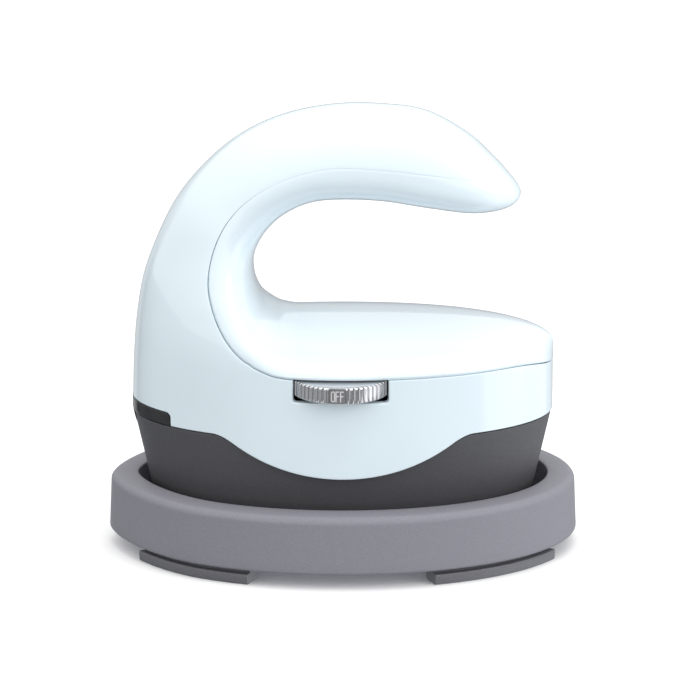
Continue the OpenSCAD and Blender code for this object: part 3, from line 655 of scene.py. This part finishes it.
M_DIAL = metal("dial_metal", (0.68, 0.675, 0.685), 0.15, (1, 1, 12))
M_LABEL = plain("label_plate", (0.17, 0.165, 0.175), 0.5, scale=2200, bump=0.000003)
M_PRINT = plain("label_print", (0.62, 0.61, 0.62), 0.5, scale=2200)
M_PLATE = metal("cast_plate", (0.42, 0.42, 0.44), 0.4, (1, 1, 1))
M_STEEL = metal("plated_steel", (0.66, 0.67, 0.69), 0.28, (1, 6, 1))
CAD_MATS = {
    "heating_element": metal("element_sheath", (0.36, 0.33, 0.31), 0.42, (1, 1, 1)),
    "element_clamps": M_STEEL, "fuse_clip": M_STEEL, "sensor_clip": M_STEEL,
    "switch_bracket": M_STEEL, "switch_nut": M_STEEL, "rotary_shaft": M_STEEL,
    "insulation_pad": plain("felt", (0.78, 0.75, 0.68), 0.9, scale=1500, amount=0.15, bump=0.0002),
    "heat_shield": metal("shield_sheet", (0.74, 0.75, 0.77), 0.22, (8, 1, 1)),
    "thermal_fuse": metal("fuse_can", (0.72, 0.66, 0.52), 0.3, (1, 1, 1)),
    "temperature_sensor": plain("sensor_resin", (0.03, 0.03, 0.035), 0.5, bump=0.00001),
    "rotary_switch": plain("switch_case", (0.06, 0.09, 0.18), 0.45, bump=0.000008),
    "control_board": plain("solder_mask", (0.03, 0.20, 0.08), 0.35, scale=260, amount=0.25, bump=0.00001),
    "controller_chip": plain("chip_resin", (0.02, 0.02, 0.022), 0.55, scale=2500, bump=0.000008),
    "power_relay": plain("relay_case", (0.05, 0.12, 0.36), 0.2, scale=300, coat=0.3),
    "film_capacitor": plain("film_case", (0.62, 0.40, 0.06), 0.25, scale=300, coat=0.3),
    "filter_capacitor": plain("capacitor_sleeve", (0.05, 0.05, 0.09), 0.2, scale=400, coat=0.3),
    "terminal_block": plain("terminal_case", (0.05, 0.30, 0.14), 0.4, bump=0.000006),
    "board_fuse": plain("fuse_ceramic", (0.78, 0.77, 0.72), 0.35, scale=600),
    "motion_switch": metal("switch_can", (0.68, 0.54, 0.28), 0.25, (1, 1, 6)),
    "heater_leads": plain("lead_red", (0.50, 0.04, 0.03), 0.45, scale=1600, bump=0.00001),
    "sensor_leads": plain("lead_white", (0.76, 0.75, 0.70), 0.45, scale=1600, bump=0.00001),
    "soleplate_screws": M_STEEL, "shell_screws": M_STEEL, "board_screws": M_STEEL,
    "bracket_screws": M_STEEL, "clamp_screws": M_STEEL,
}
for node, mat in CAD_MATS.items():
    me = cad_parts[node].data
    me.materials.clear()
    me.materials.append(mat)

# ---------------------------------------------------------------- casing
shell(-1, "casing_right", "right_shell", M_SHELL, True)
shell(1, "casing_left", "left_shell", M_SHELL, False)
cover("grip_cover", M_COVER)


# ---------------------------------------------------------------- housing
def hou_g(z):
    return 0.5 * np.clip((38.4 - z) / 24, 0, 1)


def housing():
    n = 360
    p = np.arange(n) * 360.0 / n
    c, s = np.cos(np.radians(p)), np.sin(np.radians(p))

    def pt(z, t):
        q = 0.222 * (38.4 - z) + t
        return np.stack([XC + (A - 0.25 - q) * c, (B - 0.15 - q) * s * ogive(p, hou_g(z)), z + 0 * p], -1)
    zt = np.full(n, 38.0)
    for _ in range(30):
        zt = zedge(XC + (A - 0.25 - 0.222 * (38.4 - zt)) * c) - 0.3
    rows = []
    z0 = 9.6
    for k, (x, y) in enumerate(arc_pts((0.8, 0.8), 0.8, 270, 180, 5)):
        rows.append(pt(z0 + y + 0 * p, x))
    for q in np.linspace(0, 1, 34)[1:-1]:
        rows.append(pt(z0 + 0.8 + (zt - 0.25 - z0 - 0.8) * q, 0 * p))
    for x, y in arc_pts((0.2, -0.2), 0.2, 180, 90, 4):
        rows.append(pt(zt + y, x))
    rows.append(pt(zt, 2.0))
    rows.append(pt(zt - 4, 2.0))
    rows.append(pt(np.full(n, 24.0), 2.0))
    rows.append(pt(np.full(n, 11.0), 2.0))
    rows.append(pt(np.full(n, z0), 1.7))
    R = np.array(rows)
    V = R.reshape(-1, 3)
    m = len(rows)
    F = []
    for i in range(m):
        for j in range(n):
            k = (j + 1) % n
            F.append((i * n + j, i * n + k, ((i + 1) % m) * n + k, ((i + 1) % m) * n + j))
    add("housing_ring", V, F, "press", M_HOUSING, ("lower_housing",), smooth=50)
    V, F = loft([pt(np.full(n, 24.2), 1.9), pt(np.full(n, 26.7), 1.9)])
    add("housing_floor", V, F, "press", M_HOUSING, smooth=40)


housing()


# ---------------------------------------------------------------- plate
def plate():
    prof = [(8.2, 8.1), (7.75, 8.2), (7.55, 8.45), (7.5, 8.7), (7.1, 8.75), (7.0, 8.95), (7.0, 9.3),
            (7.15, 9.45), (9.2, 9.5), (9.2, 12.9)]
    V, F = loft([ring(A - t, B - t + 0.1, 0.5, z, n=240) for t, z in prof])
    add("sole_plate", V, F, "press", M_PLATE, ("soleplate",), smooth=35)


plate()


# ---------------------------------------------------------------- cord outlet
def outlet():
    n, m = 96, 12
    # outer face follows the casing between the notch's ends
    amax = math.degrees(math.acos((NOTCH_X - 0.1 - XC) / A))
    X = []
    zl = np.r_[38.5, 38.56, np.linspace(38.75, 41.6, 10), 41.82, 41.9]
    rows = []
    for k in range(n + 1):
        a = amax + (360 - 2 * amax) * k / n
        x = XC + A * math.cos(math.radians(a))
        d = min(x - (XC - A), 1e9)
        y = B * math.sin(math.radians(a))
        e = (NOTCH_X - 0.1) - x
        top = 41.9 if e > NOTCH_R else 41.9 - NOTCH_R + math.sqrt(max(NOTCH_R ** 2 - (NOTCH_R - e) ** 2, 0))
        nx, ny = x / A ** 2, y / B ** 2
        q = math.hypot(nx, ny)
        nx, ny = nx / q, ny / q
        out = []
        for z in zl:
            zz = 38.5 + (z - 38.5) * (top - 38.5) / 3.4
            t = 0.02
            if z < 38.6 or z > 41.85:
                t = 0.12
            out.append((x - nx * t, y - ny * t, zz))
        for z in zl[::-1]:
            zz = 38.5 + (z - 38.5) * (top - 38.5) / 3.4
            out.append((x - nx * 2.15, y - ny * 2.15, zz))
        rows.append(out)
    R = np.array(rows)
    c = R.shape[1]
    V = R.reshape(-1, 3)
    F = grid_faces(len(rows), c, close_c=True)
    F += [tuple(range(c)), tuple((len(rows) - 1) * c + j for j in range(c - 1, -1, -1))]
    band = add("outlet_band", V, F, "press", M_OUTLET, ("cord_outlet",), smooth=35)
    # boss with the cord's hole, sunk a little in the band
    hole = []
    prof = [(-46.1, 3.05), (-46.1, 4.2), (-55.2, 4.2), (-56.3, 4.1), (-56.72, 3.8), (-56.8, 3.45),
            (-56.7, 3.18), (-56.4, 3.05), (-55.8, 3.0), (-46.6, 3.0)]
    N = 72
    V = []
    for x, r in prof:
        for k in range(N):
            a = 2 * math.pi * k / N
            y, z = r * math.cos(a), 37.7 + r * math.sin(a)
            V.append((x + (0.1 + 0.222 * max(38.5 - z, 0) if x < -54 else 0), y, z))
    F = []
    for i in range(len(prof)):
        for k in range(N):
            i2, k2 = (i + 1) % len(prof), (k + 1) % N
            F.append((i * N + k, i * N + k2, i2 * N + k2, i2 * N + k))
    boss = add("outlet_bush", V, F, "press", M_OUTLET, smooth=35)
    return band, boss


outlet()


# ---------------------------------------------------------------- dial
DX, DY, DZ, DR, DT = -0.6, -24.0, 49.9, 13.5, 4.8


def dial():
    teeth = 60
    per = 16
    n = teeth * per
    ang = np.arange(n) * 2 * np.pi / n
    fr = np.mod(ang * teeth / (2 * np.pi), 1)
    dist = np.abs(fr - 0.5) * 2          # 0 at a groove's middle
    groove = np.maximum(1 - (dist / 0.42) ** 2, 0) ** 0.8
    crown = 0.05 * ((dist - 0.42).clip(0) / 0.58 - 0.5) ** 2
    flat, pocket = np.zeros(n), np.zeros(n)
    for k in range(4):
        d = np.abs((np.degrees(ang) - (266 + 90 * k) + 180) % 360 - 180)
        flat = np.maximum(flat, np.where(d < 11.6, 1.0, 0.0))
        pocket = np.maximum(pocket, np.where(d < 9.75, 0.45, 0.0))

    def rg(z, r, k):
        rr = r - k * (0.5 * groove + crown) * (1 - flat) - (pocket if 0.5 < z < 4.4 else 0)
        return np.stack([DX + rr * np.cos(ang), DY + rr * np.sin(ang), np.full(n, DZ + z)], -1)
    prof = [(0.0, DR - 1.6, 0), (0.0, DR - 0.9, 0), (0.08, DR - 0.6, 0), (0.25, DR - 0.3, 0.2), (0.45, DR - 0.08, 0.7),
            (0.6, DR, 1), (2.4, DR, 1), (4.1, DR, 1), (4.36, DR - 0.07, 0.9), (4.45, DR - 0.16, 0.6),
            (4.57, DR - 0.36, 0.2), (4.66, DR - 0.62, 0), (4.74, DR - 1.0, 0), (4.78, DR - 1.5, 0), (4.8, DR - 2.2, 0),
            (4.8, DR - 4, 0), (4.8, 6, 0), (4.8, 2.3, 0), (4.7, 2.05, 0), (4.6, 2.0, 0), (0.0, 2.0, 0)]
    rings = [rg(z, r, k) for z, r, k in prof]
    V = np.array(rings).reshape(-1, 3)
    m = len(prof)
    F = []
    for i in range(m):
        i2 = (i + 1) % m
        for j in range(n):
            k = (j + 1) % n
            F.append((i * n + j, i * n + k, i2 * n + k, i2 * n + j))
    # pocket walls for the plates come from flat lands, set back below the rim
    ob = add("dial_wheel", V, F, "dial", M_DIAL, ("dial",), smooth=50)
    return ob


def rounded_plate(w, h, r, n=6):
    pts = []
    for cx, cy, a in ((w / 2 - r, h / 2 - r, 0), (-w / 2 + r, h / 2 - r, 90),
                      (-w / 2 + r, -h / 2 + r, 180), (w / 2 - r, -h / 2 + r, 270)):
        for k in range(n + 1):
            q = math.radians(a + 90 * k / n)
            pts.append((cx + r * math.cos(q), cy + r * math.sin(q)))
    return pts


def stroke(path, w):
    """Flat band of width w along a path, mitred at its corners."""
    P = np.array(path, float)
    closed = np.allclose(P[0], P[-1])
    n = len(P)
    L, Rr = [], []
    for k in range(n):
        if closed and k in (0, n - 1):
            a, b = P[1] - P[0], P[-1] - P[-2]
            a, b = b, a
        else:
            a = P[k] - P[k - 1] if k else P[1] - P[0]
            b = P[k + 1] - P[k] if k < n - 1 else a
        a, b = a / np.linalg.norm(a), b / np.linalg.norm(b)
        t = a + b
        t /= np.linalg.norm(t)
        m = np.array([-t[1], t[0]]) * w / 2 / max(float(t @ a), 0.5)
        L.append(P[k] + m)
        Rr.append(P[k] - m)
    V = L + Rr
    return V, [(k, k + 1, n + k + 1, n + k) for k in range(n - 1)]


def bow(cx, cz, rx, rz, a0, a1, n=10):
    return [(cx + rx * math.cos(math.radians(a0 + (a1 - a0) * k / n)),
             cz + rz * math.sin(math.radians(a0 + (a1 - a0) * k / n))) for k in range(n + 1)]


def glyph(c):
    """Strokes of a tall narrow character about 1 mm wide and 3 mm high."""
    w, h = 0.42, 1.36
    if c == "O":
        top = bow(0, h - w, w, w, 0, 180)
        return [top + bow(0, w - h, w, w, 180, 360) + [top[0]]]
    if c == "F":
        return [[(-w, -h - 0.15), (-w, h + 0.15)], [(-w, h), (w, h)], [(-w, 0.1), (w - 0.08, 0.1)]]
    if c == "1":
        return [[(-0.35, h - 0.35), (0.05, h), (0.05, -h - 0.15)]]
    if c == "2":
        return [bow(0, h - w, w, w, 170, -25) + [(-w, -h)], [(-w - 0.1, -h), (w + 0.1, -h)]]
    return [bow(0, h - w, w, w, 160, -80) + [(-0.12, 0.06)], [(-0.12, 0.06)] + bow(0, -h + w + 0.06, w, w + 0.05, 85, -160)]


def labels():
    V, F = [], []
    pts = rounded_plate(4.4, 4.04, 0.15)
    R0 = DR
    zc = DZ + 2.5
    for k in range(4):
        a = math.radians(266 + 90 * k)
        base = len(V)
        for off in (-0.9, 0.0, 0.05):
            sc = 1.0 if off < 0.02 else 0.98
            for x, z in pts:
                b = a + x * sc / R0
                r = R0 - 0.06 + off
                V.append((DX + r * math.cos(b), DY + r * math.sin(b), zc + z * sc))
        n = len(pts)
        for q in range(2):
            for j in range(n):
                j2 = (j + 1) % n
                F.append((base + q * n + j, base + q * n + j2, base + (q + 1) * n + j2, base + (q + 1) * n + j))
        m = 10
        rows = []
        for q in range(m + 1):
            rows.append(len(V))
            x = -2.15 + 4.3 * q / m
            b = a + x / R0
            for z in (-1.96, 1.96):
                V.append((DX + (R0 - 0.008) * math.cos(b), DY + (R0 - 0.008) * math.sin(b), zc + z))
        for q in range(m):
            F.append((rows[q], rows[q + 1], rows[q + 1] + 1, rows[q] + 1))
        F.append(tuple(base + j for j in range(n - 1, -1, -1)))
    add("dial_plates", V, F, "dial", M_LABEL, ("dial_labels",), smooth=35)
    for k, word in enumerate(("OFF", "3", "2", "1")):
        a = math.radians(266 + 90 * k)
        V, F = [], []
        for i, c in enumerate(word):
            x0 = (i - (len(word) - 1) / 2) * 1.22
            for path in glyph(c):
                P, Q = stroke(path, 0.3)
                b0 = len(V)
                n = len(P)
                for off in (-0.02, 0.035):
                    for x, z in P:
                        b = a + (x0 + x + 0.1 * (len(word) > 1)) / R0
                        V.append((DX + (R0 + off) * math.cos(b), DY + (R0 + off) * math.sin(b), zc - 0.1 + z))
                h = n // 2
                for q in Q:
                    F.append(tuple(b0 + n + j for j in q))
                    F.append(tuple(b0 + j for j in q[::-1]))
                for j in range(h - 1):
                    F.append((b0 + j, b0 + j + 1, b0 + n + j + 1, b0 + n + j))
                    F.append((b0 + h + j + 1, b0 + h + j, b0 + n + h + j, b0 + n + h + j + 1))
                for j in (0, h - 1):
                    F.append((b0 + j, b0 + n + j, b0 + n + h + j, b0 + h + j))
        add("dial_mark_" + word.lower(), V, F, "dial", M_PRINT, smooth=0)


dial()
labels()

# ---------------------------------------------------------------- base
BA, BB, BG = 63.5, 42.9, 0.4
BZ0 = 4.2


def base():
    prof = [(8.5, 4.2), (1.5, 4.2), (0.75, 4.26), (0.25, 4.45), (0.04, 4.8), (0.0, 5.2)]
    prof += [(0.5 * (z - 5.2) / 12.6, z) for z in (8, 11, 14, 16.5, 17.8)]
    for k in range(1, 12):
        q = math.radians(88 * k / 11)
        prof.append((0.5 + 2.1 * (1 - math.cos(q)), 17.85 + 2.12 * math.sin(q)))
    prof += [(3.4, 20.04), (4.8, 20.09), (6.2, 20.06)]
    for k in range(1, 9):
        q = math.radians(90 * k / 8)
        prof.append((7.45 + 0.5 * math.sin(q), 20.03 - 0.5 * (1 - math.cos(q))))
    prof += [(8.1, 16), (8.4, 12), (8.7, 8.4), (9.0, 7.4), (9.8, 6.75), (11, 6.6)]
    rings = [ring(BA - t, BB - t - 0.1 * min(t, 1), BG, z, n=384, cx=0) for t, z in prof]
    V, F = loft(rings)
    add("base_tray_skin", V, F, "base", M_BASE, ("base_tray",), smooth=60)
    # ribs that carry the hot plate
    V, F = [], []

    def rib(x0, y0, x1, y1, top=8.0):
        b = len(V)
        r = 0.35
        sec = [(-1, 6.5), (-1, top - r), (-1 + 0.3 * r, top - 0.3 * r), (-1 + r, top), (1 - r, top),
               (1 - 0.3 * r, top - 0.3 * r), (1, top - r), (1, 6.5)]
        L = math.hypot(x1 - x0, y1 - y0)
        dx, dy = (x1 - x0) / L, (y1 - y0) / L
        for (px, py) in ((x0, y0), (x1, y1)):
            for o, z in sec:
                V.append((px - dy * o * 1.1, py + dx * o * 1.1, z))
        m = len(sec)
        for j in range(m):
            j2 = (j + 1) % m
            F.append((b + j, b + j2, b + m + j2, b + m + j))
        F.append(tuple(b + j for j in range(m - 1, -1, -1)))
        F.append(tuple(b + m + j for j in range(m)))
    for x in (-28, 0, 28):
        rib(x, -19, x, 19)
    for y in (-8, 8):
        rib(-38, y, 38, y, 7.9)
    add("base_ribs", V, F, "base", M_BASE, smooth=40)


def feet():
    V, F = [], []
    for sx in (-1, 1):
        for sy in (-1, 1):
            a0, a1 = (23.2, 66.6) if sx > 0 else (114.2, 152)
            n = 28
            prof = [(2.0, 0.0), (1.45, 0.12), (1.25, 0.45), (1.2, 2.6), (1.3, 2.82), (1.5, 2.9),
                    (3.0, 2.9), (3.0, 4.2), (7.4, 4.2), (7.4, 1.0), (7.3, 0.45),
                    (7.1, 0.12), (6.6, 0.0)]
            b = len(V)
            m = len(prof)
            for k in range(n + 1):
                e = 0.0
                q = a0 + (a1 - a0) * k / n
                c = float(ogive(q, BG))
                for t, z in prof:
                    V.append(((BA - t) * math.cos(math.radians(q)), sy * (BB - t) * math.sin(math.radians(q)) * c, z))
            for k in range(n):
                for j in range(m):
                    j2 = (j + 1) % m
                    F.append((b + k * m + j, b + k * m + j2, b + (k + 1) * m + j2, b + (k + 1) * m + j))
            F.append(tuple(b + j for j in range(m - 1, -1, -1)))
            F.append(tuple(b + n * m + j for j in range(m)))
    add("feet", V, F, "base", M_FOOT, ("base_feet",), smooth=35)


base()
feet()

# ---------------------------------------------------------------- stage
scene = bpy.context.scene


def stage_floor():
    me = bpy.data.meshes.new("floor")
    R = 3.0
    me.from_pydata([(-R, -R, 0), (R, -R, 0), (R, R, 0), (-R, R, 0)], [], [(0, 1, 2, 3)])
    ob = bpy.data.objects.new("floor", me)
    scene.collection.objects.link(ob)
    m = Mat("floor_paper", Roughness=0.6, Specular_IOR_Level=0.0)
    f = m.noise(6, 2, 0.5)
    m.set("Base Color", m.ramp(f, [(0.3, (0.96, 0.96, 0.96)), (0.7, (0.97, 0.97, 0.97))]))
    me.materials.append(m.m)
    ob.visible_diffuse = False
    ob.visible_glossy = False
    ob.visible_shadow = False


stage_floor()


def look_at(ob, target):
    d = Vector(target) - ob.location
    ob.rotation_euler = d.to_track_quat("-Z", "Y").to_euler()


def light(name, loc, target, size, power, color=(1, 1, 1), spread=None):
    li = bpy.data.lights.new(name, "AREA")
    li.shape = "RECTANGLE"
    li.size, li.size_y = size
    li.energy = power
    li.color = color
    if spread:
        li.spread = math.radians(spread)
    ob = bpy.data.objects.new(name, li)
    ob.location = loc
    scene.collection.objects.link(ob)
    look_at(ob, target)
    return ob


light("key", (1.5, -0.9, 0.9), (0, 0, 0.05), (1.0, 1.0), 10)
light("top", (0.15, 0.1, 1.5), (0, 0, 0.05), (1.6, 1.3), 7.5)

world = bpy.data.worlds.new("studio")
scene.world = world
world.use_nodes = True
wt = world.node_tree
bg = wt.nodes["Background"]
wc = wt.nodes.new("ShaderNodeTexCoord")
sep = wt.nodes.new("ShaderNodeSeparateXYZ")
wt.links.new(wc.outputs["Generated"], sep.inputs["Vector"])


def math_node(op, a, b=None, clamp=False):
    n = wt.nodes.new("ShaderNodeMath")
    n.operation = op
    n.use_clamp = clamp
    for k, v in enumerate((a, b)):
        if v is None:
            continue
        if isinstance(v, (int, float)):
            n.inputs[k].default_value = v
        else:
            wt.links.new(v, n.inputs[k])
    return n.outputs[0]


def ramp_node(value, lo, hi, stops):
    m = wt.nodes.new("ShaderNodeMapRange")
    m.inputs["From Min"].default_value = lo
    m.inputs["From Max"].default_value = hi
    wt.links.new(value, m.inputs["Value"])
    n = wt.nodes.new("ShaderNodeValToRGB")
    e = n.color_ramp.elements
    while len(e) < len(stops):
        e.new(0.5)
    for k, (q, c) in enumerate(stops):
        e[k].position = (q - lo) / (hi - lo)
        e[k].color = (c, c, c, 1) if isinstance(c, float) else (*c, 1)
    wt.links.new(m.outputs["Result"], n.inputs["Fac"])
    return n.outputs["Color"]


# studio walls: height gives the sky, the angle round the object gives the dim
# and bright stretches of the low part
sky = ramp_node(sep.outputs["Z"], -1, 1, [
    (-1.0, (0.50, 0.52, 0.54)), (-0.35, (0.72, 0.74, 0.76)), (-0.012, (0.62, 0.65, 0.68)),
    (0.006, (0.98, 0.99, 1.0)), (0.45, (1.06, 1.06, 1.06)), (1.0, (1.0, 1.0, 1.0))])
az = math_node("ARCTAN2", sep.outputs["X"], math_node("MULTIPLY", sep.outputs["Y"], -1.0))
wall = ramp_node(az, -math.pi, math.pi, [
    (-math.pi, 1.1), (-2.75, 1.7), (-2.5, 1.7), (-2.38, 0.4), (-1.9, 0.45), (-1.65, 0.7), (-1.4, 0.7), (-1.2, 0.6),
    (-1.0, 0.55), (-0.4, 0.68), (0.1, 0.68), (0.22, 0.44), (0.92, 0.44), (1.0, 2.4), (1.5, 2.4), (1.62, 1.6), (2.6, 1.6), (math.pi, 1.1)])
front = ramp_node(az, -math.pi, math.pi, [
    (-math.pi, 0.95), (-1.9, 1.1), (-1.0, 1.22), (-0.3, 1.42), (0.4, 1.32), (1.2, 1.03), (2.0, 0.95), (math.pi, 0.95)])
low = math_node("LESS_THAN", sep.outputs["Z"], 0.0)


def mix_node(kind, fac, a, b):
    m = wt.nodes.new("ShaderNodeMix")
    m.data_type = "RGBA"
    m.blend_type = kind
    for sock, v in ((m.inputs[0], fac), (m.inputs[6], a), (m.inputs[7], b)):
        if isinstance(v, float):
            sock.default_value = v
        else:
            wt.links.new(v, sock)
    return m.outputs[2]


tint = mix_node("MIX", low, front, wall)
far = math_node("MULTIPLY", math_node("GREATER_THAN", sep.outputs["Y"], 0.6), math_node("LESS_THAN", sep.outputs["Z"], 0.216))
band = ramp_node(far, 0.0, 1.0, [(0.0, 1.0), (1.0, 0.5)])
glow = mix_node("MULTIPLY", 1.0, mix_node("MULTIPLY", 1.0, sky, tint), band)
wt.links.new(glow, bg.inputs["Color"])
bg.inputs["Strength"].default_value = 1.0

cam_data = bpy.data.cameras.new("camera")
cam_data.sensor_width = 36
cam_data.lens = 5550 / 680 * 36
cam_data.clip_end = 20
cam = bpy.data.objects.new("camera", cam_data)
scene.collection.objects.link(cam)
aim = Vector((-0.0008, 0, 0.0569))
el = math.radians(16.5)
cam.location = aim + 1.5 * Vector((0, -math.cos(el), math.sin(el)))
look_at(cam, aim)
scene.camera = cam
scene.view_settings.view_transform = "Standard"
